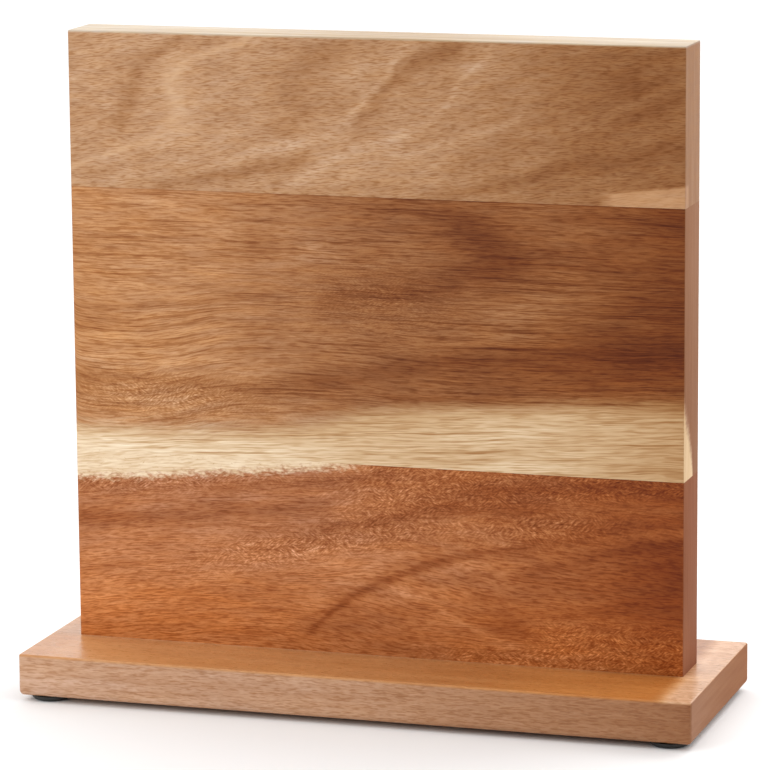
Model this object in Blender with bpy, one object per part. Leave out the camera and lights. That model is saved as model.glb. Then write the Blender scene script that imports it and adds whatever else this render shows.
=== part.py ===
"""Magnetic knife block: a laminated upright board with magnets sealed inside it, on a footed base board.

The upright is two leaves, a front one and a back one, and each leaf is three staves glued edge to edge.
The leaves are sawn from one thick blank, so their stave joints are at the same heights. Rows of block
magnets, each row on its steel keeper, lie in grooves cut into the leaves' inner faces. Four wood screws
come up through the base into the leaves' bottom staves. Metres, +Z up, the front face towards -Y, and the
origin on the floor under the middle of the base.
"""

import math

import bmesh
import bpy
from mathutils import Matrix, Vector

MM = 0.001
GAP = 0.3 * MM  # between two pieces that touch

BASE_LENGTH = 300 * MM
BASE_DEPTH = 106 * MM
BASE_THICKNESS = 18.5 * MM
BASE_BOTTOM_ROUND = 2.5 * MM
BASE_TOP_EASE = 0.8 * MM
BASE_CORNER_ROUND = 1.2 * MM
ROUND_STEPS = 8
EASE_STEPS = 4

UPRIGHT_LENGTH = 273.4 * MM
UPRIGHT_HEIGHT = 268 * MM  # above the base's top
UPRIGHT_THICKNESS = 25.5 * MM
EDGE_EASE = 0.6 * MM
TOP_STAVE_HEIGHT = 67.8 * MM
MIDDLE_STAVE_HEIGHT = 116.2 * MM

FOOT_HEIGHT = 2.5 * MM
FOOT_TOP_RADIUS = 9 * MM
FOOT_BOTTOM_RADIUS = 6.5 * MM
FOOT_STEPS = 8
FOOT_FROM_END = 11.5 * MM  # the foot's centre
FOOT_FROM_EDGE = 10 * MM

MAGNET_LENGTH = 40 * MM
MAGNET_HEIGHT = 25 * MM
MAGNET_THICKNESS = 8 * MM
MAGNET_EASE = 0.5 * MM
MAGNETS_IN_ROW = 5
MAGNET_PITCH = 48 * MM
KEEPER_THICKNESS = 1.5 * MM
ROW_DEPTHS = {"top": 34 * MM, "middle": 126 * MM}  # from the upright's top to each row's centre

SCREW_LENGTH = 50 * MM
SCREW_SHANK_RADIUS = 1.6 * MM
SCREW_THREAD_RADIUS = 2.1 * MM
SCREW_THREAD_PITCH = 2.4 * MM
SCREW_THREAD_LENGTH = 28 * MM
SCREW_HEAD_RADIUS = 4 * MM
SCREW_HEAD_HEIGHT = 2.6 * MM
SCREW_SUNK = 0.6 * MM
SCREW_TIP = 4 * MM
RECESS_SPAN = 4.4 * MM
RECESS_WIDTH = 1.1 * MM
RECESS_DEPTH = 1.6 * MM
SCREW_PLACES = {"front": (-105 * MM, 35 * MM), "back": (-35 * MM, 105 * MM)}

BASE_BOTTOM = FOOT_HEIGHT
BASE_TOP = BASE_BOTTOM + BASE_THICKNESS
UPRIGHT_BOTTOM = BASE_TOP + GAP
UPRIGHT_TOP = BASE_TOP + UPRIGHT_HEIGHT
TOP_JOINT = UPRIGHT_TOP - TOP_STAVE_HEIGHT
BOTTOM_JOINT = TOP_JOINT - MIDDLE_STAVE_HEIGHT
LEAF_THICKNESS = (UPRIGHT_THICKNESS - GAP) / 2
LEAF_MIDDLE = (UPRIGHT_THICKNESS - LEAF_THICKNESS) / 2  # from the seam to the middle of a leaf
GROOVE_DEPTH = MAGNET_THICKNESS + KEEPER_THICKNESS + 2 * GAP
GROOVE_LENGTH = (MAGNETS_IN_ROW - 1) * MAGNET_PITCH + MAGNET_LENGTH + 2 * GAP
GROOVE_HEIGHT = MAGNET_HEIGHT + 2 * GAP
SIDES = {"front": -1, "back": 1}  # the sign of y on each leaf


def clear_scene():
    for obj in list(bpy.data.objects):
        bpy.data.objects.remove(obj, do_unlink=True)


def linear(level):
    """An sRGB level from 0 to 255 as a linear one from 0 to 1."""
    share = level / 255
    return share / 12.92 if share <= 0.04045 else ((share + 0.055) / 1.055) ** 2.4


def material(name, srgb, roughness, metallic=0.0):
    made = bpy.data.materials.new(name)
    made.use_nodes = True
    shader = made.node_tree.nodes["Principled BSDF"]
    shader.inputs["Base Color"].default_value = (*map(linear, srgb), 1)
    shader.inputs["Roughness"].default_value = roughness
    shader.inputs["Metallic"].default_value = metallic
    return made


def object_from(name, mesh_builder, finish):
    """Makes an object of a bmesh, its faces pointing out and its shallow edges smooth."""
    bmesh.ops.recalc_face_normals(mesh_builder, faces=mesh_builder.faces)
    mesh = bpy.data.meshes.new(name)
    mesh_builder.to_mesh(mesh)
    mesh_builder.free()
    mesh.shade_smooth()
    mesh.set_sharp_from_angle(angle=math.radians(35))
    if finish:
        mesh.materials.append(finish)
    obj = bpy.data.objects.new(name, mesh)
    bpy.context.scene.collection.objects.link(obj)
    return obj


def box_mesh(size, outer=(), ease=0.0):
    """A box about the origin. Each edge between two of its outer sides, given as directions, is eased."""
    box = bmesh.new()
    bmesh.ops.create_cube(box, size=1, matrix=Matrix.Diagonal((*size, 1)))
    if ease:
        box.normal_update()
        shown = {face for face in box.faces if any(face.normal.dot(Vector(side)) > 0.9 for side in outer)}
        edges = [edge for edge in box.edges if shown.issuperset(edge.link_faces)]
        bmesh.ops.bevel(box, geom=edges, offset=ease, segments=2, profile=0.5, affect="EDGES")
    return box


def ring_mesh(rings):
    """A closed form through rings of equally many points, each joined to the next, with flat ends."""
    form = bmesh.new()
    loops = [[form.verts.new(point) for point in ring] for ring in rings]
    for lower, upper in zip(loops, loops[1:]):
        for i in range(len(lower)):
            j = (i + 1) % len(lower)
            form.faces.new((lower[i], lower[j], upper[j], upper[i]))
    form.faces.new(reversed(loops[0]))
    form.faces.new(loops[-1])
    return form


def circle(radius, height, sides):
    turns = (2 * math.pi * i / sides for i in range(sides))
    return [(radius * math.cos(turn), radius * math.sin(turn), height) for turn in turns]


def turned_mesh(profile, sides):
    """A solid turned about Z from (radius, height) points."""
    return ring_mesh([circle(radius, height, sides) for radius, height in profile])


def rounded_rectangle(length, depth, corner, height, steps=5):
    """The outline of a rectangle with round corners, about the origin, counterclockwise."""
    points = []
    for quarter, (along, across) in enumerate(((1, 1), (-1, 1), (-1, -1), (1, -1))):
        centre = Vector((along * (length / 2 - corner), across * (depth / 2 - corner), height))
        for step in range(steps + 1):
            turn = math.radians(90 * (quarter + step / steps))
            points.append(centre + corner * Vector((math.cos(turn), math.sin(turn), 0)))
    return points


def cut(obj, cutter):
    """Takes the cutter's shape out of the object with a Boolean that stays on it."""
    cutter.hide_render = True
    cutter.display_type = "WIRE"
    boolean = obj.modifiers.new(cutter.name, "BOOLEAN")
    boolean.operation = "DIFFERENCE"
    boolean.solver = "EXACT"
    boolean.object = cutter


def screw_places():
    """Yields the name, leaf, x and y of each screw."""
    for leaf, places in SCREW_PLACES.items():
        for x, end in zip(places, ("left", "right")):
            yield f"base_screw_{leaf}_{end}", leaf, x, SIDES[leaf] * LEAF_MIDDLE


# The upright


def add_stave(leaf, row, low, high, outer_ends, finish):
    """One stave of a leaf, between two heights. outer_ends are the directions of its other outer sides."""
    side = SIDES[leaf]
    outer = [(0, side, 0), (1, 0, 0), (-1, 0, 0), *outer_ends]
    size = (UPRIGHT_LENGTH, LEAF_THICKNESS, high - low)
    stave = object_from(f"{leaf}_{row}_stave", box_mesh(size, outer, EDGE_EASE), finish)
    stave.location = (0, side * LEAF_MIDDLE, (low + high) / 2)
    return stave


def add_groove(stave, leaf, depth_below_top):
    """Cuts the magnets' groove into the stave's inner face."""
    overshoot = 2 * MM
    size = (GROOVE_LENGTH, GROOVE_DEPTH + overshoot, GROOVE_HEIGHT)
    cutter = object_from(f"{stave.name}_groove", box_mesh(size), None)
    inner_face = SIDES[leaf] * (UPRIGHT_THICKNESS / 2 - LEAF_THICKNESS)
    cutter.location = (
        0,
        inner_face + SIDES[leaf] * (GROOVE_DEPTH - overshoot) / 2,
        UPRIGHT_TOP - depth_below_top,
    )
    cut(stave, cutter)


def add_magnet_row(leaf, row, magnet_mesh, keeper_finish, depth_below_top):
    """The magnets of one groove, against the leaf's thin outer skin, and the keeper behind them."""
    side = SIDES[leaf]
    height = UPRIGHT_TOP - depth_below_top
    keeper_middle = UPRIGHT_THICKNESS / 2 - LEAF_THICKNESS + KEEPER_THICKNESS / 2
    magnet_middle = keeper_middle + KEEPER_THICKNESS / 2 + GAP + MAGNET_THICKNESS / 2
    keeper_size = (GROOVE_LENGTH - 2 * GAP, KEEPER_THICKNESS, MAGNET_HEIGHT)
    keeper = object_from(f"{leaf}_{row}_keeper", box_mesh(keeper_size), keeper_finish)
    keeper.location = (0, side * keeper_middle, height)
    for i in range(MAGNETS_IN_ROW):
        magnet = bpy.data.objects.new(f"{leaf}_{row}_magnet_{i + 1}", magnet_mesh)
        bpy.context.scene.collection.objects.link(magnet)
        x = (i - (MAGNETS_IN_ROW - 1) / 2) * MAGNET_PITCH
        magnet.location = (x, side * magnet_middle, height)


def magnet_shape(finish):
    """The mesh that all the magnets share."""
    every_side = [(1, 0, 0), (-1, 0, 0), (0, 1, 0), (0, -1, 0), (0, 0, 1), (0, 0, -1)]
    size = (MAGNET_LENGTH, MAGNET_THICKNESS, MAGNET_HEIGHT)
    pattern = object_from("magnet", box_mesh(size, every_side, MAGNET_EASE), finish)
    mesh = pattern.data
    bpy.data.objects.remove(pattern)
    return mesh


def add_upright():
    woods = {
        "top": material("top_stave_wood", (176, 133, 96), 0.55),
        "middle": material("middle_stave_wood", (164, 112, 74), 0.55),
        "bottom": material("bottom_stave_wood", (166, 102, 62), 0.55),
    }
    magnet_mesh = magnet_shape(material("ferrite", (62, 62, 64), 0.5))
    keeper_steel = material("keeper_steel", (150, 152, 154), 0.45, 0.9)
    heights = {
        "top": (TOP_JOINT + GAP / 2, UPRIGHT_TOP),
        "middle": (BOTTOM_JOINT + GAP / 2, TOP_JOINT - GAP / 2),
        "bottom": (UPRIGHT_BOTTOM, BOTTOM_JOINT - GAP / 2),
    }
    staves = {}
    for leaf in SIDES:
        for row, (low, high) in heights.items():
            outer_ends = [(0, 0, 1)] if row == "top" else []
            staves[leaf, row] = add_stave(leaf, row, low, high, outer_ends, woods[row])
        for row, depth_below_top in ROW_DEPTHS.items():
            add_groove(staves[leaf, row], leaf, depth_below_top)
            add_magnet_row(leaf, row, magnet_mesh, keeper_steel, depth_below_top)
    for name, leaf, x, y in screw_places():
        add_pilot_hole(staves[leaf, "bottom"], name, x, y)


def add_pilot_hole(stave, name, x, y):
    """Cuts a screw's hole up into the stave, with a cone for its tip."""
    radius = SCREW_THREAD_RADIUS + GAP
    top = BASE_BOTTOM + SCREW_SUNK + SCREW_LENGTH + 2 * GAP
    start = UPRIGHT_BOTTOM - 2 * MM
    profile = [(radius, start), (radius, top - SCREW_TIP), (GAP, top)]
    cutter = object_from(f"{name}_pilot", turned_mesh(profile, 16), None)
    cutter.location = (x, y, 0)
    cut(stave, cutter)


# The base


def base_rings():
    """The base's outline at each height: well rounded below, barely eased above."""
    levels = []
    for i in range(ROUND_STEPS + 1):
        turn = math.radians(90 * i / ROUND_STEPS)
        inset = BASE_BOTTOM_ROUND * (1 - math.sin(turn))
        levels.append((BASE_BOTTOM + BASE_BOTTOM_ROUND * (1 - math.cos(turn)), inset))
    for i in range(EASE_STEPS + 1):
        turn = math.radians(90 * i / EASE_STEPS)
        inset = BASE_TOP_EASE * (1 - math.cos(turn))
        levels.append((BASE_TOP - BASE_TOP_EASE * (1 - math.sin(turn)), inset))
    for height, inset in levels:
        corner = max(BASE_CORNER_ROUND - inset, 0.2 * MM)
        yield rounded_rectangle(BASE_LENGTH - 2 * inset, BASE_DEPTH - 2 * inset, corner, height)


def add_screw_hole(base, name, x, y):
    """Cuts a screw's clearance hole through the base, with its countersink below."""
    shank = SCREW_THREAD_RADIUS + GAP
    head = SCREW_HEAD_RADIUS + GAP
    head_bottom = BASE_BOTTOM + SCREW_SUNK
    profile = [
        (head, BASE_BOTTOM - 2 * MM),
        (head, head_bottom + GAP),
        (shank, head_bottom + SCREW_HEAD_HEIGHT + GAP),
        (shank, BASE_TOP + 2 * MM),
    ]
    cutter = object_from(f"{name}_hole", turned_mesh(profile, 32), None)
    cutter.location = (x, y, 0)
    cut(base, cutter)


def add_base():
    wood = material("base_wood", (181, 136, 103), 0.35)
    base = object_from("base_board", ring_mesh(list(base_rings())), wood)
    for name, _, x, y in screw_places():
        add_screw_hole(base, name, x, y)


# Screws and feet


def screw_profile():
    """A countersunk wood screw, head down: the head's cone, the plain shank, the thread's crests and the tip."""
    profile = [
        (SCREW_HEAD_RADIUS, 0),
        (SCREW_HEAD_RADIUS, 0.3 * MM),
        (SCREW_SHANK_RADIUS, SCREW_HEAD_HEIGHT),
    ]
    thread_start = SCREW_LENGTH - SCREW_TIP - SCREW_THREAD_LENGTH
    for i in range(round(SCREW_THREAD_LENGTH / SCREW_THREAD_PITCH)):
        root = thread_start + i * SCREW_THREAD_PITCH
        profile.append((SCREW_SHANK_RADIUS, root))
        profile.append((SCREW_THREAD_RADIUS, root + SCREW_THREAD_PITCH / 2))
    profile.append((SCREW_SHANK_RADIUS, SCREW_LENGTH - SCREW_TIP))
    profile.append((0.2 * MM, SCREW_LENGTH))
    return profile


def add_recess(screw):
    """Cuts the driver's cross-shaped recess into the screw's head, one slot each way."""
    for number, slot in enumerate(((RECESS_SPAN, RECESS_WIDTH), (RECESS_WIDTH, RECESS_SPAN))):
        cutter = object_from(f"{screw.name}_recess_{number}", box_mesh((*slot, 2 * RECESS_DEPTH)), None)
        cutter.location = screw.location
        cut(screw, cutter)


def add_screws():
    steel = material("screw_steel", (186, 188, 190), 0.3, 1.0)
    for name, _, x, y in screw_places():
        screw = object_from(name, turned_mesh(screw_profile(), 20), steel)
        screw.location = (x, y, BASE_BOTTOM + SCREW_SUNK)
        add_recess(screw)


def foot_profile():
    """A bumper whose side is a quarter of an ellipse, narrower at the floor."""
    height = FOOT_HEIGHT - GAP
    profile = []
    for i in range(FOOT_STEPS + 1):
        turn = math.radians(90 * i / FOOT_STEPS)
        radius = FOOT_BOTTOM_RADIUS + (FOOT_TOP_RADIUS - FOOT_BOTTOM_RADIUS) * math.sin(turn)
        profile.append((radius, height * (1 - math.cos(turn))))
    return profile


def add_feet():
    rubber = material("foot_rubber", (28, 27, 27), 0.8)
    for depth_name, across in SIDES.items():
        for end_name, along in (("left", -1), ("right", 1)):
            foot = object_from(f"foot_{depth_name}_{end_name}", turned_mesh(foot_profile(), 48), rubber)
            foot.location = (
                along * (BASE_LENGTH / 2 - FOOT_FROM_END),
                across * (BASE_DEPTH / 2 - FOOT_FROM_EDGE),
                0,
            )


clear_scene()
add_upright()
add_base()
add_screws()
add_feet()
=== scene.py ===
"""The magnetic knife block's looks: fine meshes for the staves, procedural acacia, rubber and steel."""

import math

import bmesh
import bpy
from mathutils import Matrix, Vector


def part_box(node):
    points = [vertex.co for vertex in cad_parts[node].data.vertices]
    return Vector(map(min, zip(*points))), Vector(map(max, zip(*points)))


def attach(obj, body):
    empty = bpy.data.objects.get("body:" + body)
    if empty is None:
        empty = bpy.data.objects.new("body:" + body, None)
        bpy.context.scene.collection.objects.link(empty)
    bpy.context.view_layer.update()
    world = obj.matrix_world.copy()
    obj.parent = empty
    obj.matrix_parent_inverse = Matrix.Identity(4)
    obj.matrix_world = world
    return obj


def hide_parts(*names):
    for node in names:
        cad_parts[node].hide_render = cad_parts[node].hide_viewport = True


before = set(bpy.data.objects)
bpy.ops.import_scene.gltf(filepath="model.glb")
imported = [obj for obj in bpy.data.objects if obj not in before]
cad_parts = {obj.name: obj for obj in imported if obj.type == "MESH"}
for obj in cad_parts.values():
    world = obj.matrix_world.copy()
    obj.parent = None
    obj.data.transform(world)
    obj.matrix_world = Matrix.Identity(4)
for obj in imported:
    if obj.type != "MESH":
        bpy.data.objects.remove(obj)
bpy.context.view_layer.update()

MM = 0.001
LEAVES = ("front", "back")
ROWS = ("top", "middle", "bottom")

# The boards' outlines, from the frame
base_low, base_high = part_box("base_board")
upright_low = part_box("front_bottom_stave")[0]
upright_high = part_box("back_top_stave")[1]
LENGTH = upright_high.x - upright_low.x
TOP_JOINT = (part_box("front_top_stave")[0].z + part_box("front_middle_stave")[1].z) / 2
BOTTOM_JOINT = (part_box("front_middle_stave")[0].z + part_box("front_bottom_stave")[1].z) / 2

# The camera: where it stands, as turns about the block, and what it looks at
CAMERA_AZIMUTH = 17.52
CAMERA_ELEVATION = 10.91
CAMERA_ROLL = -0.47
CAMERA_DISTANCE = 6.804 * LENGTH
CAMERA_LENS = 202.06
CAMERA_AIM = Vector((0.005 * LENGTH, 0, base_low.z + 0.495 * LENGTH))


def add_camera():
    turn, rise, roll = map(math.radians, (CAMERA_AZIMUTH, CAMERA_ELEVATION, CAMERA_ROLL))
    back = Vector((math.sin(turn) * math.cos(rise), -math.cos(turn) * math.cos(rise), math.sin(rise)))
    right = (-back).cross(Vector((0, 0, 1))).normalized()
    up = right.cross(-back)
    turned_right = math.cos(roll) * right + math.sin(roll) * up
    turned_up = -math.sin(roll) * right + math.cos(roll) * up
    data = bpy.data.cameras.new("camera")
    data.lens = CAMERA_LENS
    data.sensor_width = 36
    camera = bpy.data.objects.new("camera", data)
    bpy.context.scene.collection.objects.link(camera)
    axes = Matrix((turned_right, turned_up, back)).transposed().to_4x4()
    camera.matrix_world = Matrix.Translation(CAMERA_AIM + back * CAMERA_DISTANCE) @ axes
    bpy.context.scene.camera = camera


add_camera()


# Material graphs


def linear(level):
    """An sRGB level from 0 to 255 as a linear one from 0 to 1."""
    share = level / 255
    return share / 12.92 if share <= 0.04045 else ((share + 0.055) / 1.055) ** 2.4


class Field:
    """A number that varies over a surface: an output of a material's node, with arithmetic."""

    def __init__(self, graph, socket):
        self.graph = graph
        self.socket = socket

    def __add__(self, other):
        return self.graph.math("ADD", self, other)

    def __radd__(self, other):
        return self.graph.math("ADD", other, self)

    def __sub__(self, other):
        return self.graph.math("SUBTRACT", self, other)

    def __rsub__(self, other):
        return self.graph.math("SUBTRACT", other, self)

    def __mul__(self, other):
        return self.graph.math("MULTIPLY", self, other)

    def __truediv__(self, other):
        return self.graph.math("DIVIDE", self, other)

    def __abs__(self):
        return self.graph.math("ABSOLUTE", self)

    def exp(self):
        return self.graph.math("EXPONENT", self)

    def clamped(self):
        return self.graph.math("MINIMUM", self.graph.math("MAXIMUM", self, 0), 1)

    def rise(self, low, high):
        """0 below low, 1 above high and smooth between. With low above high it falls instead."""
        if low > high:
            return 1 - self.rise(high, low)
        node = self.graph.node("ShaderNodeMapRange")
        node.interpolation_type = "SMOOTHSTEP"
        self.graph.feed(node.inputs["Value"], self)
        node.inputs["From Min"].default_value = low
        node.inputs["From Max"].default_value = high
        return Field(self.graph, node.outputs["Result"])

    def curve(self, *points):
        """A smooth curve through (place, height) points, level outside them."""
        node = self.graph.node("ShaderNodeFloatCurve")
        low, high = points[0][0], points[-1][0]
        base = min(height for _, height in points)
        span = max(height for _, height in points) - base
        line = node.mapping.curves[0]
        shares = [((place - low) / (high - low), (height - base) / span) for place, height in points]
        line.points[0].location, line.points[-1].location = shares[0], shares[-1]
        for share in shares[1:-1]:
            line.points.new(*share)
        node.mapping.update()
        self.graph.feed(node.inputs["Value"], (self - low) / (high - low))
        return Field(self.graph, node.outputs["Value"]) * span + base


class Graph:
    """The nodes of a material or a world, under construction."""

    def __init__(self, owner, shader="Principled BSDF", first_draw=0):
        owner.use_nodes = True
        self.owner = owner
        self.draws = first_draw
        self.tree = owner.node_tree
        self.shader = self.tree.nodes[shader]

    def node(self, kind):
        return self.tree.nodes.new(kind)

    def feed(self, socket, value):
        if isinstance(value, Field):
            self.tree.links.new(value.socket, socket)
        else:
            socket.default_value = value

    def math(self, operation, first, second=0.0):
        node = self.node("ShaderNodeMath")
        node.operation = operation
        self.feed(node.inputs[0], first)
        self.feed(node.inputs[1], second)
        return Field(self, node.outputs[0])

    def vector(self, x, y, z):
        node = self.node("ShaderNodeCombineXYZ")
        for socket, value in zip(node.inputs, (x, y, z)):
            self.feed(socket, value)
        return Field(self, node.outputs[0])

    def parts(self, vector):
        node = self.node("ShaderNodeSeparateXYZ")
        self.feed(node.inputs[0], vector)
        return [Field(self, output) for output in node.outputs]

    def coordinates(self, kind):
        """Three coordinates: a point or a normal in the object's space, or a direction in the world's."""
        node = self.node("ShaderNodeTexCoord")
        return self.parts(Field(self, node.outputs[kind]))

    def noise(self, place, size, detail=2.0, roughness=0.5):
        """Cloudy noise about 0, in grains of about this size along each axis. No two draws are alike."""
        self.draws += 1
        scaled = self.vector(*(axis / length + self.draws * 7.3 for axis, length in zip(place, size)))
        node = self.node("ShaderNodeTexNoise")
        self.feed(node.inputs["Vector"], scaled)
        node.inputs["Scale"].default_value = 1
        node.inputs["Detail"].default_value = detail
        node.inputs["Roughness"].default_value = roughness
        return (Field(self, node.outputs["Fac"]) - 0.5) * 4

    def colour(self, colour):
        """A colour field as it is, or an sRGB triple as a linear colour."""
        return colour if isinstance(colour, Field) else (*map(linear, colour), 1)

    def mix(self, share, first, second):
        """A colour between two, each an sRGB triple or a colour field."""
        node = self.node("ShaderNodeMix")
        node.data_type = "RGBA"
        self.feed(node.inputs["Factor"], share)
        self.feed(node.inputs[6], self.colour(first))
        self.feed(node.inputs[7], self.colour(second))
        return Field(self, node.outputs[2])

    def bump(self, height, strength, depth):
        """Gives the shader a surface with this relief, so many millimetres deep."""
        node = self.node("ShaderNodeBump")
        node.inputs["Strength"].default_value = strength
        node.inputs["Distance"].default_value = depth * MM
        self.feed(node.inputs["Height"], height)
        self.feed(self.shader.inputs["Normal"], Field(self, node.outputs[0]))


def new_material(name, first_draw=0):
    return Graph(bpy.data.materials.new(name), first_draw=first_draw)


def blend(share, first, second):
    """The first field where the share is 0, the second where it is 1."""
    return first * (1 - share) + second * share


# Wood

# Places in the upright's materials are in millimetres: u along the grain from the left end, d down from the
# top and w back from the front face. Depth of tone is how far the wood is darkened, by its stain and in
# places by painted shade.

STAVE_GLOSS = (0.15, 0.5)  # specular level and roughness
BASE_GLOSS = (0.3, 0.32)
END_ROUGHNESS = 0.8
PORE_DEPTH = 0.1
TONE_FALL = (1.0, 1.6, 2.4)  # how fast red, green and blue fall with the depth of tone
GOLD = (0.7, 0.43, -0.58)  # how fast they rise as the wood turns golden


def places(graph, left, front, top):
    """u, d, w and how far the surface faces along the grain, so that 1 is end grain."""
    x, y, z = graph.coordinates("Object")
    along = abs(graph.coordinates("Normal")[0])
    return (x - left) / MM, (top - z) / MM, (y - front) / MM, along.rise(0.5, 0.9)


def toned(graph, colour, tone, gold):
    """The colour darkened by the depth of tone, and turned golden or, below 0, pink."""
    node = graph.node("ShaderNodeSeparateColor")
    graph.feed(node.inputs[0], graph.colour(colour))
    rates = zip(node.outputs, TONE_FALL, GOLD)
    channels = [Field(graph, output) * (gold * lift - tone * fall).exp() for output, fall, lift in rates]
    joined = graph.node("ShaderNodeCombineColor")
    for socket, channel in zip(joined.inputs, channels):
        graph.feed(socket, channel)
    return Field(graph, joined.outputs[0])


def bell(distance, width):
    """1 at no distance, falling smoothly to near 0 at two widths."""
    share = distance / width
    return (share * share * -1).exp()


def spot(u, d, centre, size, slope=0.0):
    """A soft oval patch, 1 at its centre. Its long axis falls to the right by the slope."""
    right, down = u - centre[0], d - centre[1]
    across, over = right / size[0], (down - right * slope) / size[1]
    return ((across * across + over * over) * -1).exp()


def stroke(along, across, width, *points):
    """A soft line through (along, across) points, 1 at its middle, which fades at its ends."""
    start, stop = points[0][0], points[-1][0]
    fade = (stop - start) * 0.12
    ends = along.rise(start, start + fade) * along.rise(stop, stop - fade)
    return bell(across - along.curve(*points), width) * ends


def glue_line(d, joint):
    """The thin dark line where two staves are glued, at a joint of this height."""
    return bell(d - (upright_high.z - joint) / MM, 0.45) * 0.25


def fibres(graph, place, length, streak, line, dash):
    """The tone of the grain: soft streaks, long thin lines, and dark dashes so many millimetres long."""
    streaks = graph.noise(place, (length * 3.2, 2.4, 6), 2, 0.55)
    lines = graph.noise(place, (length * 5, 0.8, 3), 1, 0.4).rise(0.1, 1)
    dashes = graph.noise(place, (length, 0.55, 0.9), 1, 0.5).rise(-0.2, 0.8)
    fuzz = graph.noise(place, (length * 0.7, 0.9, 1.2), 1, 0.6)
    return streaks * streak + (lines - 0.2) * line + (dashes - 0.33 + fuzz * 0.22) * dash


def flecks(graph, place):
    """The short slanted dashes of interlocked grain, about 0."""
    u, d, w = place
    falling = graph.noise((u + d * 0.6, d - u * 0.6, w), (2.1, 0.75, 1), 1, 0.5)
    rising = graph.noise((u - d * 0.6, d + u * 0.6, w), (2.1, 0.75, 1), 1, 0.5)
    turn = graph.noise(place, (12, 4, 8), 1).rise(-0.5, 0.3)
    return falling + (rising - falling) * turn


def growth_lines(graph, place, width):
    """Broad growth figure along the grain, in bands about so many millimetres wide, with crisp dark edges."""
    broad = graph.noise(place, (150, width, 60), 2, 0.4)
    ridge = bell(broad - 0.15, 0.12)
    return broad + ridge * 0.5


def end_grain(graph, place):
    """The tone on sawn ends: the rings as faint upright bands, and open pores."""
    u, d, w = place
    rings = graph.noise((u, d + w * 2, w), (200, 40, 2.2), 3, 0.55)
    pores = graph.noise(place, (3, 0.8, 0.6), 1)
    return rings * 0.1 + pores.rise(0.5, 1.3) * 0.16


def finish_wood(graph, colour, tone, gold, pores, end, gloss):
    """Oiled wood: smooth along the grain and matt on the sawn ends."""
    level, roughness = gloss
    graph.feed(graph.shader.inputs["Base Color"], toned(graph, colour, tone, gold))
    graph.feed(graph.shader.inputs["Roughness"], (pores * 0.1 + roughness) * (1 - end) + end * END_ROUGHNESS)
    graph.shader.inputs["Specular IOR Level"].default_value = level
    graph.bump(pores * -1, 0.25, PORE_DEPTH)
    return graph.owner


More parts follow.
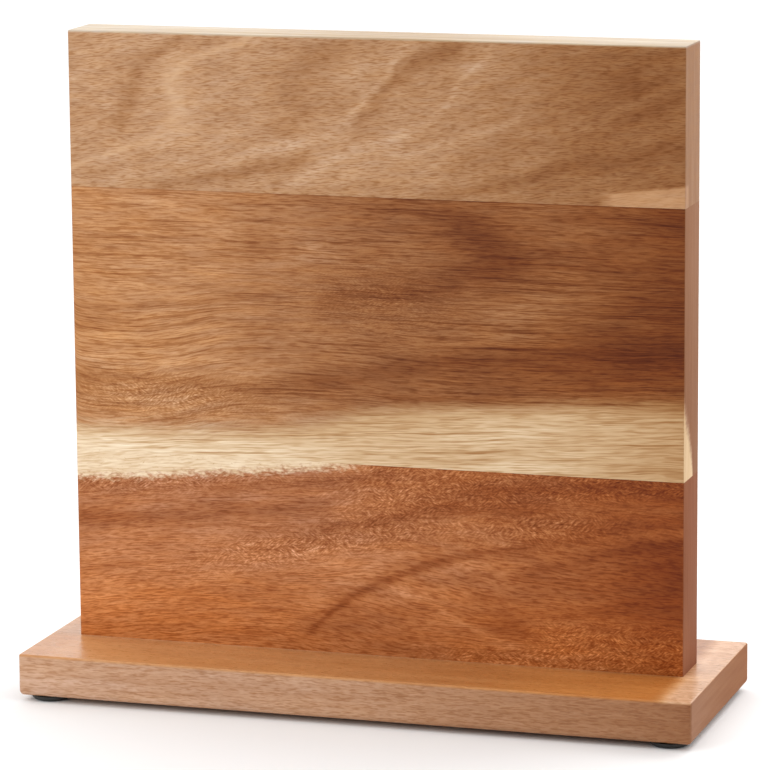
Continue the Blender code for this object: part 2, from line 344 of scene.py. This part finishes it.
def top_wood():
    """Pale tan with short pores everywhere, and growth lines that sweep up to the right."""
    graph = new_material("acacia_top_stave", 10)
    u, d, w, end = places(graph, upright_low.x, upright_low.y, upright_high.z)
    wander = graph.noise((u, d, w), (26, 14, 25))
    front = w.rise(14, 2)
    # Darker towards the right: partly the wood's colour, partly painted shade where the light falls off to
    # the right
    tone = u.curve((0, 0.15), (60, 0.15), (110, 0.17), (165, 0.22), (200, 0.35), (235, 0.54), (273, 0.6))
    waves = graph.noise((d + u * 0.5 + wander * 3, u - d, w), (6, 60, 30), 2)
    tone += waves * u.curve((0, 0.05), (180, 0.08), (273, 0.16))
    tone += graph.noise((u, d + u * 0.2, w), (13, 6, 20)) * 0.07
    across, down = u + wander * 2, d + wander * 1.2
    # A pale sweep falls steeply from the top, and pale and dark lines climb to the right
    sweep = stroke(
        down, across, 4,
        (-16, 118), (0, 84), (7, 68), (13, 54), (20, 47), (34, 49), (41, 45), (50, 27), (60, -2), (70, -30),
    )
    sweep += stroke(down, across, 8, (6, 54), (22, 50), (36, 52), (48, 48)) * 0.5
    pale = stroke(
        across, down, 2.8, (40, 67), (75, 54), (100, 47), (118, 41), (127, 33), (138, 22), (160, -8)
    )
    pale += stroke(across, down, 3.5, (95, 66), (125, 50), (152, 40), (164, 33), (180, 13), (200, -10))
    pale += stroke(across, down, 2.5, (115, 62), (150, 50), (188, 39), (210, 22)) * 0.8
    pale += spot(u, d, (186, 11), (14, 4), -0.3) + spot(u, d, (132, 14), (7, 12)) * 0.6
    dark = stroke(down, across, 4, (-2, 62), (8, 42), (15, 33), (28, 28), (44, 20)) * 1.5
    dark += stroke(across, down, 2.8, (32, 69), (60, 62), (80, 59), (112, 51)) * 1.8
    dark += spot(u, d, (103, 26), (15, 15), -0.5) * 1.2 + spot(u, d, (117, 8), (13, 6), -0.4) * 1.3
    dark += (
        stroke(across, down, 5, (126, 38), (140, 28), (150, 15), (180, 0)) * 1.6
        + spot(u, d, (166, 9), (10, 6), -0.4)
    )
    dark += stroke(across, down, 2.4, (160, 70), (190, 62), (216, 53), (246, 37), (290, 9)) * 0.6
    dark += stroke(across, down, 2, (180, 53), (205, 45), (230, 34), (250, 22), (290, -6)) * 0.6
    dark += stroke(across, down, 3.5, (150, 71), (180, 64), (205, 57), (230, 50), (300, 40)) * 1.1
    dark += spot(u, d, (190, 55), (14, 4), -0.2) * 0.8 + spot(u, d, (250, 50), (18, 3), -0.2) * 0.8
    dark += spot(u, d, (256, 16), (16, 12)) * 1.2
    tone += ((dark - pale) * 0.14 - sweep * 0.19) * front
    tone += growth_lines(graph, (u, d + u * 0.25 + wander * 2, w), 8) * (1 - front) * 0.3
    fine = fibres(graph, (u, d + u * 0.06 + wander, w), 4.4, 0.07, 0.0, 0.3)
    # The lower right corner is pale; the narrow top face is painted cream, a painted sheen of the light from
    # above
    pale_strip = (d + u * 0.12).rise(90.3, 92.3) * u.rise(234, 244) * w.rise(7, 4)
    tone = (tone + fine) * (1 - pale_strip * 0.6) * (1 - sweep.clamped() * front * 0.5)
    top_face_sheen = d.rise(1.2, 0.2)
    colour = graph.mix(top_face_sheen, (188, 147, 111), (200, 182, 159))
    colour = graph.mix(pale_strip * 0.8, colour, (214, 173, 136))
    top_face_sheen_tone = graph.noise((u, d, w), (60, 20, 4), 2) * 0.12 + spot(u, w, (140, 12), (60, 40)) * 0.2
    tone = blend(top_face_sheen, tone, top_face_sheen_tone)
    tone = blend(end, tone, end_grain(graph, (u, d, w)) + 0.26)
    gold = (
        graph.noise((u, d + u * 0.1, w), (12, 2.5, 8), 3) * 0.06 + sweep.clamped() * front * 0.04
        - end * 0.2
    )
    return finish_wood(graph, colour, tone, gold, graph.noise((u, d, w), (3.6, 0.6, 0.8)), end, STAVE_GLOSS)


def middle_wood():
    """Golden on the left and brown on the right, the darkening partly painted shade, with a cream band of
    sapwood along the lower edge.
    """
    graph = new_material("acacia_middle_stave", 40)
    u, d, w, end = places(graph, upright_low.x, upright_low.y, upright_high.z)
    wander = graph.noise((u, d, w), (30, 9, 25))
    front = w.rise(16, 4)
    # Darker towards the right: partly the wood's colour, partly painted shade where the light falls off to
    # the right
    tone = u.curve(
        (0, 0.22), (60, 0.22), (85, 0.31), (120, 0.47), (155, 0.67), (200, 0.73), (235, 0.84), (273, 1.12)
    )
    tone += graph.noise((u, d + wander * 2, w), (26, 5, 20), 2) * 0.1
    across, down = u + wander * 2, d + wander
    # Dark clouds in the brown half, and paler ones between them
    clouds = (
        spot(u, d, (181, 80), (17, 8), 0.35) * 2.3 + spot(u, d, (189, 96), (14, 8)) * 1.7
        + spot(u, d, (144, 75), (12, 8)) * 0.7
    )
    clouds += (
        stroke(across, down, 5, (108, 116), (128, 110), (152, 108), (180, 102)) * 1.0
        + spot(u, d, (222, 94), (50, 6)) * 0.8
    )
    clouds += stroke(across, down, 4.5, (90, 154), (125, 147), (170, 138), (225, 131), (290, 128)) * 1.2
    clouds += spot(u, d, (222, 139), (42, 9), -0.05) * 1.4 + spot(u, d, (262, 128), (28, 9)) * 1.6
    clouds += spot(u, d, (270, 73), (22, 5)) * 1.2 + spot(u, d, (266, 110), (20, 8)) * 1.5
    clouds -= (
        spot(u, d, (200, 115), (26, 9)) * 1.2 + spot(u, d, (152, 90), (14, 7)) * 0.9
        + spot(u, d, (112, 92), (9, 8)) * 0.6
    )
    clouds -= (
        spot(u, d, (45, 143), (36, 4)) * 0.7 + spot(u, d, (8, 133), (14, 3)) * 0.7
        + spot(u, d, (225, 78), (22, 5)) * 0.6
    )
    clouds += stroke(across, down, 1.6, (-8, 118), (14, 120), (40, 118), (64, 115), (100, 110)) * 1.0
    clouds += stroke(across, down, 4, (-30, 152), (20, 151), (78, 153), (104, 148), (130, 145)) * 1.0
    clouds += (
        spot(u, d, (30, 157), (40, 2.5)) * 0.6 + spot(u, d, (118, 74), (14, 6)) * 0.4
        - spot(u, d, (235, 96), (24, 6)) * 0.5
    )
    clouds += (
        spot(u, d, (160, 140), (20, 8)) * 0.4 - spot(u, d, (192, 128), (14, 5)) * 0.6
        + spot(u, d, (226, 75), (14, 5)) * 0.6
    )
    clouds += (
        spot(u, d, (110, 69), (12, 3)) * 0.6 + spot(u, d, (182, 106), (20, 8)) * 0.6
        + spot(u, d, (158, 86), (10, 5)) * 0.5
    )
    clouds += (
        spot(u, d, (240, 121), (18, 8)) * 0.6 + spot(u, d, (248, 138), (24, 8)) * 0.6
        + spot(u, d, (30, 90), (26, 6)) * 0.3
    )
    clouds += (
        spot(u, d, (190, 151), (14, 5)) * 0.6 + spot(u, d, (225, 156), (24, 3)) * 0.5
        - spot(u, d, (218, 67), (16, 4)) * 0.7
    )
    clouds += (
        spot(u, d, (84, 90), (6, 12)) * 0.5 + spot(u, d, (8, 125), (16, 5)) * 0.7
        + spot(u, d, (122, 120), (12, 12)) * 0.5
    )
    tone += clouds * front * 0.2
    tone += growth_lines(graph, (u, d - u * 0.08 + wander * 2, w), 11) * (1 - front) * 0.42
    # The grain climbs to the right below the stave's middle
    bend = u.curve((0, 3), (16, 0), (42, 2), (100, 9), (170, 8), (273, 11)) * d.rise(94, 126)
    grained = (u, d + bend + wander * 0.5, w)
    wavy = (spot(u, d, (42, 158), (38, 8)) + spot(u, d, (140, 112), (30, 12)) * 0.7) * front
    tone += fibres(graph, grained, 6.5, 0.1, 0.36, 0.32) * (1 + u.rise(80, 150) * 0.15)
    long_lines = graph.noise(grained, (110, 1.3, 8), 2, 0.6).rise(0.1, 0.6)
    tone += (long_lines - 0.25) * u.rise(110, 200) * d.rise(80, 105) * 0.3
    tone += glue_line(d, TOP_JOINT)
    tone += flecks(graph, grained) * (wavy + 0.1).clamped() * 0.4
    # Sapwood: its edge climbs to the right, and falls away towards the back
    edge = u.curve((0, 173), (50, 172), (90, 169), (118, 164), (140, 159), (200, 154.5), (273, 149.5))
    edge += w.curve((0, 0), (2.5, 6.5), (7, 12.5), (11, 20), (14.5, 28), (16, 36), (25.5, 50))
    edge += graph.noise(grained, (16, 1.6, 5), 2, 0.6) * u.curve((0, 2.4), (100, 2.0), (150, 1.2), (273, 2.2))
    softness = u.curve((0, 5), (90, 6), (150, 4.5), (200, 4), (273, 7))
    sap = ((d - edge) / softness).rise(-0.9, 1.1)
    sap_tone = (
        fibres(graph, (u, d + u * 0.05 + wander * 0.6, w), 11, 0.1, 0.3, 0.24)
        + (d - edge).rise(13, 0) * 0.2
    )
    # The sapwood darkens to the right too: painted shade where the light falls off to the right
    sap_tone += u.curve(
        (0, 0.06), (60, 0.06), (110, 0.19), (150, 0.27), (200, 0.23), (235, 0.35), (273, 0.52)
    )
    sap_tone += (
        spot(u, d, (200, 174), (36, 4), -0.2) * 0.12 + spot(u, d, (258, 179), (24, 5)) * 0.1
        + spot(u, d, (125, 170), (32, 8)) * 0.1
    ) * front
    colour = graph.mix(sap, (188, 137, 94), (233, 209, 176))
    gold = (
        graph.noise(grained, (26, 4, 20), 3) * 0.1
        + u.curve((0, 0.05), (60, 0.0), (150, -0.08), (200, -0.05), (273, 0.06))
    )
    gold += (spot(u, d, (228, 138), (50, 12)) * 0.12 + spot(u, d, (20, 134), (40, 12)) * 0.05) * front
    end_tone = end_grain(graph, (u, d, w)) + d.rise(90, 140) * 0.12 * (1 - sap) + 0.3 - sap * 0.1
    tone = blend(end, blend(sap, tone, sap_tone), end_tone)
    gold = gold * (1 - sap) * (1 - end) - end * (0.35 - sap * 0.35)
    return finish_wood(graph, colour, tone, gold, graph.noise(grained, (6, 0.6, 0.8)), end, STAVE_GLOSS)


def bottom_wood():
    """Red-brown, with a flat-sawn arch opening to the right, and a wedge of sapwood at the upper left."""
    graph = new_material("acacia_bottom_stave", 70)
    u, d, w, end = places(graph, upright_low.x, upright_low.y, upright_high.z)
    wander = graph.noise((u, d, w), (26, 9, 25))
    front = w.rise(16, 3)
    # Darker towards the right: partly the wood's colour, partly painted shade where the light falls off to
    # the right
    tone = u.curve((0, 0.23), (60, 0.24), (150, 0.32), (200, 0.44), (240, 0.69), (273, 1.0))
    # Lighter along the bottom on the right: partly the wood, partly painted light bounced up from the base
    tone -= d.rise(238, 262) * u.rise(140, 260) * 0.34
    tone += graph.noise((u, d + u * 0.14 + wander * 2, w), (26, 5, 20), 2) * 0.1
    across, down = u + wander * 1.5, d + wander * 0.8
    # The arch: two dark growth lines climb to the right, the lower one from the arch's tip
    arm = stroke(
        across, down, 2.1,
        (96, 268), (106, 260), (120, 247), (135, 238), (150, 231.5), (172, 223), (195, 217.5), (230, 211),
        (290, 203),
    )
    upper = stroke(
        across, down, 3,
        (20, 234), (60, 230), (85, 225), (110, 217), (137, 209), (170, 202), (215, 200), (290, 195),
    )
    growth = (
        arm * u.curve((96, 3.0), (140, 2.8), (180, 2.4), (225, 0.6))
        + upper * u.curve((60, 0.1), (120, 1.2), (160, 2.4), (195, 1.9), (222, 0.9), (240, 0.0))
    )
    # Darker and paler streaks above, inside and below the arch
    growth += spot(u, d, (205, 192), (34, 5), -0.05) * 2.0 + spot(u, d, (250, 188), (34, 4)) * 1.6
    growth += stroke(across, down, 3.5, (-20, 216), (25, 214), (55, 211), (85, 207), (125, 202)) * 1.6
    growth += stroke(across, down, 1.8, (-12, 240), (15, 237), (42, 232), (80, 229)) * 0.6
    growth += stroke(across, down, 3, (60, 199), (110, 193), (150, 188)) * 1.4
    growth += stroke(across, down, 2.2, (192, 233), (208, 227), (232, 219), (273, 210)) * 1.1
    growth += stroke(across, down, 3, (150, 244), (172, 247), (188, 252), (215, 255)) * 0.9
    growth += (
        spot(u, d, (198, 249), (12, 5), 0.1) * 2 + spot(u, d, (266, 224), (30, 16)) * 1.7
        + spot(u, d, (210, 229), (12, 8)) * 0.9
    )
    growth += spot(u, d, (78, 242), (26, 5), -0.2) * 0.8 + spot(u, d, (125, 253), (24, 6)) * 0.8
    growth -= (
        spot(u, d, (70, 233), (50, 5), -0.15) * 0.7 + spot(u, d, (8, 250), (14, 5)) * 0.7
        + spot(u, d, (58, 221), (22, 4)) * 0.6 + spot(u, d, (124, 225), (14, 5), -0.3) * 0.6
    )
    growth += (
        spot(u, d, (160, 196), (36, 9)) * 0.5 + spot(u, d, (255, 205), (34, 4), -0.1) * 0.8
        + spot(u, d, (36, 209), (32, 5)) * 0.5
    )
    growth += (
        spot(u, d, (262, 240), (14, 10)) * 0.5 + spot(u, d, (250, 262), (40, 6)) * 0.4
        - spot(u, d, (182, 224), (16, 4), -0.2) * 0.8
    )
    growth += (
        spot(u, d, (10, 198), (22, 4)) * 0.8 + spot(u, d, (150, 187), (26, 4)) * 0.8
        + spot(u, d, (185, 194), (24, 5)) * 0.5
    )
    growth -= spot(u, d, (80, 238), (70, 9), -0.1) * 0.4 + spot(u, d, (165, 243), (14, 6)) * 0.6
    growth += (
        spot(u, d, (10, 212), (16, 5)) * 0.8 + spot(u, d, (148, 217), (14, 5)) * 0.7
        + spot(u, d, (258, 204), (20, 3)) * 0.7
    )
    growth += (
        spot(u, d, (60, 262), (60, 5)) * 0.4 + spot(u, d, (170, 258), (50, 7)) * 0.5
        + spot(u, d, (186, 237), (8, 6)) * 0.7
    )
    growth -= stroke(across, down, 3.5, (98, 253), (112, 243), (130, 231.5), (160, 217)) * 1.0
    growth -= stroke(across, down, 2, (140, 238), (158, 241), (172, 249), (205, 262)) * 1.2
    tone += growth * front * 0.15
    tone += growth_lines(graph, (u, d + u * 0.12 + wander * 2, w), 9) * (1 - front) * 0.38
    # Where the interlocked grain shows as short slanted dashes
    flecked = (down - u.curve((100, 218), (170, 202), (273, 190))).rise(4, -3) * u.rise(100, 150)
    flecked += spot(u, d, (212, 207), (36, 7), -0.1) + spot(u, d, (140, 214), (28, 6), -0.2)
    flecked += (
        d.rise(242, 256) * u.rise(195, 225) + spot(u, d, (190, 266), (26, 4))
        + spot(u, d, (90, 224), (30, 7), -0.2)
    )
    flecked = ((flecked + spot(u, d, (20, 197), (70, 5), -0.06)) * front).clamped()
    # The grain bends with the arch, more and more towards its inside
    inside = d - u.curve((95, 263), (137, 234.5), (181, 217.5), (215, 211), (273, 206))
    bend = u.curve((0, -2), (60, 4), (103, 6), (150, 9), (200, 10), (273, 8)) * inside.rise(36, -12)
    grained = (u, d + bend + wander * 0.5, w)
    tone += fibres(graph, grained, 5, 0.1, 0.2, 0.38) * (1 - flecked * 0.4) + glue_line(d, BOTTOM_JOINT)
    tone += flecks(graph, grained) * (flecked + 0.1).clamped() * 0.5
    # Golden along the bottom edge: partly the wood's colour, partly painted warm light bounced up from the
    # base
    gold = (
        graph.noise(grained, (24, 4, 20), 3) * 0.1
        + d.rise(229, 252) * (front * 0.14 + 0.1) * (1 - spot(u, d, (135, 252), (40, 30)) * 0.8)
    )
    gold -= d.rise(232, 208) * u.rise(170, 100) * 0.15 - spot(u, d, (16, 211), (18, 6)) * 0.12
    gold += u.rise(200, 270) * d.rise(250, 226) * 0.12
    # The wedge: most of it lies above the joint, so only its lower part shows here
    edge = u.curve((0, 197), (30, 195.5), (60, 192.5), (100, 189), (137, 184)) - w * 1.5
    edge += graph.noise((u, d, w), (2.6, 1.4, 2), 2, 0.6) * 2.2
    sap = (edge - d).rise(-1.8, 3) * u.rise(145, 115)
    sap_tone = (
        fibres(graph, grained, 6, 0.08, 0.1, 0.18) + flecks(graph, (u, d, w)).rise(0.5, 1.4) * 0.3 + 0.06
    )
    colour = graph.mix(sap, (200, 134, 88), (233, 209, 176))
    end_tone = end_grain(graph, (u, d, w)) + 0.58 - d.rise(225, 265) * w.rise(20, 2) * 0.2
    tone = blend(end, blend(sap, tone, sap_tone), end_tone)
    gold = gold * (1 - sap) * (1 - end) - end * 0.42
    return finish_wood(graph, colour, tone, gold, graph.noise(grained, (4, 0.6, 0.8)), end, STAVE_GLOSS)


def base_wood():
    """Pinkish tan with short pores, a little darker towards the right, partly as painted shade, under a thin
    lacquer.
    """
    graph = new_material("acacia_base", 100)
    u, d, w, end = places(graph, base_low.x, base_low.y, base_high.z)
    wander = graph.noise((u, d, w), (60, 20, 20))
    # Darker towards the right: partly the wood's colour, partly painted shade where the light falls off to
    # the right
    tone = u.curve((0, 0.02), (60, 0.07), (150, 0.15), (200, 0.28), (250, 0.38), (300, 0.7))
    tone += graph.noise((u, d + w * 0.4 + wander, w), (80, 5, 9), 2) * 0.1
    # In front of the upright the top is painted orange and darker, a painted reflection of the upright and of
    # the shade it casts; at its right end the top is painted pale, a painted highlight, and at its left end
    # it is a little darker
    top = d.rise(1.5, 0.3)
    upright_reflection_and_shade = top * w.rise(44, 34) * u.rise(292, 280)
    tone += upright_reflection_and_shade * (0.13 - u.rise(170, 270) * 0.1) - top * (u.rise(282, 290) * 0.62 - u.rise(18, 8) * 0.12)
    tone += fibres(graph, (u, d, w), 4.2, 0.06, 0.05, 0.26) * (1 - upright_reflection_and_shade * 0.6)
    # More golden under the painted reflection of the upright, and a little on the rest of the top
    gold = (
        graph.noise((u, d, w), (40, 9, 15)) * 0.04 + upright_reflection_and_shade * (u.rise(170, 270) * 0.25 + 0.3)
        + (top - upright_reflection_and_shade) * 0.12
    )
    end_tone = end_grain(graph, (u, w, d)) + w.curve((0, 0.46), (106, 0.78))
    tone = blend(end, tone, end_tone)
    gold = gold * (1 - end) - w.curve((0, 0.2), (106, -0.1)) * end
    pores = graph.noise((u, d, w), (5, 0.7, 0.9))
    return finish_wood(graph, (197, 153, 121), tone, gold, pores, end, BASE_GLOSS)


# Rubber, steel and ferrite


def solid(name, first_draw):
    """A material's graph and its places in millimetres."""
    graph = new_material(name, first_draw)
    return graph, [axis / MM for axis in graph.coordinates("Object")]


def finish_solid(graph, colour, roughness, height, depth):
    """A material of this colour and roughness, with this relief in its surface."""
    graph.feed(graph.shader.inputs["Base Color"], colour)
    graph.feed(graph.shader.inputs["Roughness"], roughness)
    graph.bump(height, 0.4, depth)
    return graph.owner


def rubber():
    """Soft black rubber with a fine pebbled skin, greyer where it has rubbed."""
    graph, place = solid("rubber", 130)
    pebbles = graph.noise(place, (0.5, 0.5, 0.5), 2, 0.6)
    rubbed = graph.noise(place, (5, 5, 3), 3, 0.6)
    colour = graph.mix((rubbed + pebbles * 0.3).rise(-0.6, 1.2), (27, 26, 25), (58, 56, 53))
    return finish_solid(graph, colour, rubbed * 0.08 + 0.62, pebbles, 0.08)


def steel(name, first_draw, grain, pale, dark):
    """Steel between a pale and a dark tone, polished along its grain."""
    graph, place = solid(name, first_draw)
    graph.shader.inputs["Metallic"].default_value = 1
    marks = graph.noise(place, grain, 3, 0.6)
    stains = graph.noise(place, (9, 9, 6), 2)
    colour = graph.mix((marks * 0.4 + stains * 0.6).rise(-0.8, 0.8), pale, dark)
    return finish_solid(graph, colour, marks * 0.1 + stains * 0.04 + 0.3, marks, 0.02)


def ferrite():
    """Pressed ceramic magnet: charcoal, finely speckled and matt."""
    graph, place = solid("ferrite", 170)
    specks = graph.noise(place, (0.35, 0.35, 0.35), 2, 0.7)
    clouds = graph.noise(place, (8, 8, 8), 2)
    colour = graph.mix((specks * 0.6 + clouds * 0.5).rise(-0.9, 0.9), (52, 51, 52), (86, 84, 83))
    return finish_solid(graph, colour, clouds * 0.05 + 0.58, specks, 0.04)


# The staves' materials by row, and the CAD pieces' materials by a word in their names
STAVE_WOODS = {"top": top_wood(), "middle": middle_wood(), "bottom": bottom_wood()}
FITTINGS = {
    "base_board": base_wood(),
    "foot": rubber(),
    "base_screw": steel("screw_steel", 140, (0.4, 0.4, 0.4), (205, 204, 202), (160, 158, 155)),
    "keeper": steel("keeper_steel", 150, (14, 0.3, 0.2), (182, 181, 180), (140, 138, 136)),
    "magnet": ferrite(),
}


# Pieces

EASE = 0.7 * MM  # the rounding of the staves' outer edges
EASE_STEPS = 4
SHARP_ANGLE = 50
HAIRLINE = 0.01 * MM  # the gap left on each side of a glue line
GROOVE_ROOM = 0.3 * MM  # between the groove's walls and what lies in it


def add_piece(name, builder, finish, node):
    """Makes a piece of a bmesh in world coordinates, which stands for a CAD node."""
    bmesh.ops.recalc_face_normals(builder, faces=builder.faces)
    mesh = bpy.data.meshes.new(name)
    builder.to_mesh(mesh)
    builder.free()
    mesh.shade_smooth()
    mesh.set_sharp_from_angle(angle=math.radians(SHARP_ANGLE))
    mesh.materials.append(finish)
    piece = bpy.data.objects.new(name, mesh)
    bpy.context.scene.collection.objects.link(piece)
    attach(piece, "root")
    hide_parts(node)
    return piece


def stave_limits(leaf, row):
    """The stave's lowest and highest corners, with the glue gaps around it closed to a hairline."""
    low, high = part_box(f"{leaf}_{row}_stave")
    if leaf == "front":
        high.y = -HAIRLINE
    else:
        low.y = HAIRLINE
    if row == "top":
        low.z = TOP_JOINT + HAIRLINE
    if row == "middle":
        low.z, high.z = BOTTOM_JOINT + HAIRLINE, TOP_JOINT - HAIRLINE
    if row == "bottom":
        low.z, high.z = base_high.z + HAIRLINE, BOTTOM_JOINT - HAIRLINE
    return low, high


def add_stave(leaf, row):
    low, high = stave_limits(leaf, row)
    side = -1 if leaf == "front" else 1
    outer = [Vector((0, side, 0)), Vector((1, 0, 0)), Vector((-1, 0, 0))]
    if row == "top":
        outer.append(Vector((0, 0, 1)))
    box = bmesh.new()
    stretch = Matrix.Diagonal((*(high - low), 1))
    bmesh.ops.create_cube(box, size=1, matrix=Matrix.Translation((low + high) / 2) @ stretch)
    box.normal_update()
    shown = {face for face in box.faces if any(face.normal.dot(way) > 0.9 for way in outer)}
    inner = next(face for face in box.faces if face.normal.y * side < -0.9)
    if row != "bottom":
        cut_groove(box, inner, leaf, row)
    edges = [edge for edge in box.edges if len(edge.link_faces) == 2 and shown.issuperset(edge.link_faces)]
    bmesh.ops.bevel(box, geom=edges, offset=EASE, segments=EASE_STEPS, profile=0.5, affect="EDGES")
    add_piece(f"{leaf}_{row}_board", box, STAVE_WOODS[row], f"{leaf}_{row}_stave")


def cut_groove(box, inner, leaf, row):
    """Sinks the magnets' groove into the stave's inner face."""
    keeper_low, keeper_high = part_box(f"{leaf}_{row}_keeper")
    magnet_low, magnet_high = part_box(f"{leaf}_{row}_magnet_1")
    room = Vector((GROOVE_ROOM, GROOVE_ROOM, GROOVE_ROOM))
    low, high = keeper_low - room, keeper_high + room
    floor = magnet_low.y - room.y if leaf == "front" else magnet_high.y + room.y
    middle = (low + high) / 2
    bmesh.ops.inset_individual(box, faces=[inner], thickness=MM)
    for vert in inner.verts:
        vert.co.x = high.x if vert.co.x > middle.x else low.x
        vert.co.z = high.z if vert.co.z > middle.z else low.z
    bmesh.ops.inset_individual(box, faces=[inner], thickness=0, depth=MM)
    for vert in inner.verts:
        vert.co.y = floor


for leaf in LEAVES:
    for row in ROWS:
        add_stave(leaf, row)

# The CAD pieces that stay as they are get their materials
for name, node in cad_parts.items():
    for part, finish in FITTINGS.items():
        if part in name:
            node.data.materials.clear()
            node.data.materials.append(finish)


# Surroundings

FLOOR_SIZE = 12
FLOOR_TONE = 0.9
FLOOR_ROUGHNESS = 0.8
DIM_SIDE = 0.15
BRIGHT_SIDE = 1.6
BRIGHT_WAY = (0.1, 0.6, 0.8)


def add_stage():
    floor = bpy.data.meshes.new("floor")
    builder = bmesh.new()
    bmesh.ops.create_grid(builder, x_segments=1, y_segments=1, size=FLOOR_SIZE)
    builder.to_mesh(floor)
    builder.free()
    plane = bpy.data.objects.new("floor", floor)
    bpy.context.scene.collection.objects.link(plane)
    graph = new_material("floor_paint")
    graph.shader.inputs["Base Color"].default_value = (FLOOR_TONE, FLOOR_TONE, FLOOR_TONE, 1)
    graph.shader.inputs["Roughness"].default_value = FLOOR_ROUGHNESS
    floor.materials.append(graph.owner)


def add_light(name, place, aim, size, power):
    data = bpy.data.lights.new(name, "AREA")
    data.shape = "RECTANGLE"
    data.size, data.size_y = size
    data.energy = power
    lamp = bpy.data.objects.new(name, data)
    bpy.context.scene.collection.objects.link(lamp)
    lamp.location = place
    lamp.rotation_mode = "QUATERNION"
    lamp.rotation_quaternion = (Vector(aim) - Vector(place)).to_track_quat("-Z", "Y")


def add_world():
    """White surroundings, bright overhead and behind the block and dimmer in front of it."""
    graph = Graph(bpy.data.worlds.new("studio"), "Background")
    x, y, z = graph.coordinates("Generated")
    towards = Vector(BRIGHT_WAY).normalized()
    facing = x * towards.x + y * towards.y + z * towards.z
    light = facing.rise(-0.3, 0.8) * (BRIGHT_SIDE - DIM_SIDE) + DIM_SIDE
    path = graph.node("ShaderNodeLightPath")
    seen = Field(graph, path.outputs["Is Camera Ray"])
    graph.feed(graph.shader.inputs["Strength"], light * (1 - seen) + seen)
    graph.shader.inputs["Color"].default_value = (1, 1, 1, 1)
    bpy.context.scene.world = graph.owner


add_stage()
add_world()
add_light("key", (-0.5, -0.8, 0.45), (-0.1, 0, 0.18), (0.5, 0.5), 3.2)
add_light("rim", (0.45, 0.7, 1.0), (0, 0, 0.1), (0.6, 0.6), 3)
bpy.context.scene.view_settings.view_transform = "Standard"
